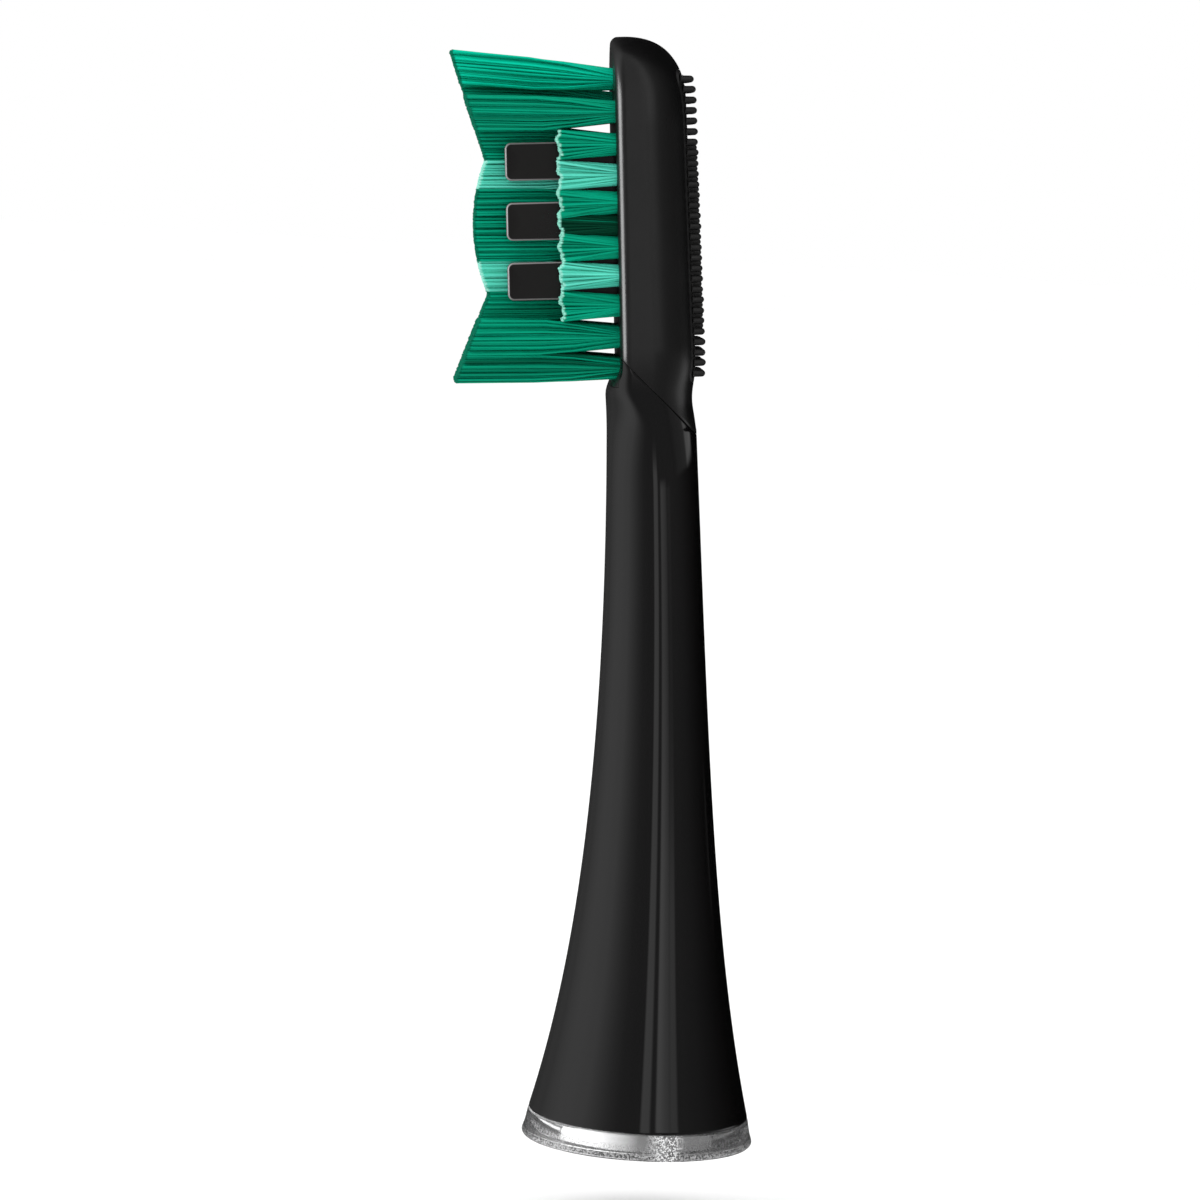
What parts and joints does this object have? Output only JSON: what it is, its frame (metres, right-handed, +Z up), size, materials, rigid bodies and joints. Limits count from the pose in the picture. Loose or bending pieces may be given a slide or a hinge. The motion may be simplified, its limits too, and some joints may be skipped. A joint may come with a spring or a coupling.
{
  "type": "electric toothbrush brush head",
  "caption": "Push-on replacement brush head for a sonic toothbrush: flared neck, oval head with bristle tufts, rubber polishing strips, tongue cleaner and clear base ring.",
  "frame": {"origin": "centre of the round opening in the marker ring's bottom face, on the drive shaft's axis", "axes": "+Z up the drive shaft's axis towards the head, -Y the side that the bristles face, +X to the head's right seen from behind"},
  "size_m": [0.018, 0.0283, 0.0854],
  "materials": {
    "neck_gloss": "glossy moulded black plastic",
    "soft_cover": "satin soft-touch overmoulding, black",
    "core_plastic": "satin moulded black plastic",
    "tongue_rubber": "satin thermoplastic rubber",
    "polishing_rubber": "satin thermoplastic rubber",
    "bristle_green": "nylon filaments, slightly see-through green",
    "bristle_mint": "nylon filaments, slightly see-through mint",
    "socket_plastic": "natural acetal",
    "spring_steel": "stamped stainless spring strip",
    "anchor_brass": "cut anchor strip",
    "clear_plastic": "clear moulded plastic, polished with a frosted inner collar"
  },
  "bodies": {
    "brush_head": {"neck_shell": "neck_gloss", "head_core": "core_plastic", "head_cover": "soft_cover", "tongue_cleaner": "tongue_rubber", "drive_socket": "socket_plastic", "shaft_clip": "spring_steel", "tuft_anchors": "anchor_brass", "polishing_strip_left": "polishing_rubber", "polishing_strip_right": "polishing_rubber", "tuft_centre_upper": "bristle_green", "tuft_centre_middle": "bristle_green", "tuft_row1_left_inner": "bristle_green", "tuft_row1_right_inner": "bristle_green", "tuft_row2_left_inner": "bristle_green", "tuft_row2_left_outer": "bristle_green", "tuft_row2_right_inner": "bristle_green", "tuft_row2_right_outer": "bristle_green", "tuft_row3_left_inner": "bristle_green", "tuft_row3_right_inner": "bristle_green", "tuft_row4_left_inner": "bristle_mint", "tuft_row4_right_inner": "bristle_mint", "tuft_row5_left_inner": "bristle_green", "tuft_row5_right_inner": "bristle_green", "tuft_row6_left_inner": "bristle_green", "tuft_row6_right_inner": "bristle_green", "tuft_row7_left_inner": "bristle_mint", "tuft_row7_right_inner": "bristle_mint", "tuft_row8_left_inner": "bristle_green", "tuft_row8_right_inner": "bristle_green", "tuft_row9_left_inner": "bristle_green", "tuft_row9_left_outer": "bristle_green", "tuft_row9_right_inner": "bristle_green", "tuft_row9_right_outer": "bristle_green", "tuft_row10_left_inner": "bristle_green", "tuft_row10_left_outer": "bristle_green", "tuft_row10_right_inner": "bristle_green", "tuft_row10_right_outer": "bristle_green", "tuft_row3_left_short": "bristle_green", "tuft_row3_right_short": "bristle_green", "tuft_row4_left_short": "bristle_mint", "tuft_row4_right_short": "bristle_mint", "tuft_row5_left_short": "bristle_green", "tuft_row5_right_short": "bristle_green", "tuft_row6_left_short": "bristle_green", "tuft_row6_right_short": "bristle_green", "tuft_row7_left_short": "bristle_mint", "tuft_row7_right_short": "bristle_mint", "tuft_row8_left_short": "bristle_green", "tuft_row8_right_short": "bristle_green", "tuft_between_left": "bristle_green", "tuft_between_right": "bristle_green"},
    "base_ring": {"base_ring": "clear_plastic"}
  },
  "joints": [
    {"name": "ring_pull", "type": "slide", "parent": "brush_head", "child": "base_ring", "axis": [0, 0, -1], "range_m": [0, 0.006]}
  ]
}
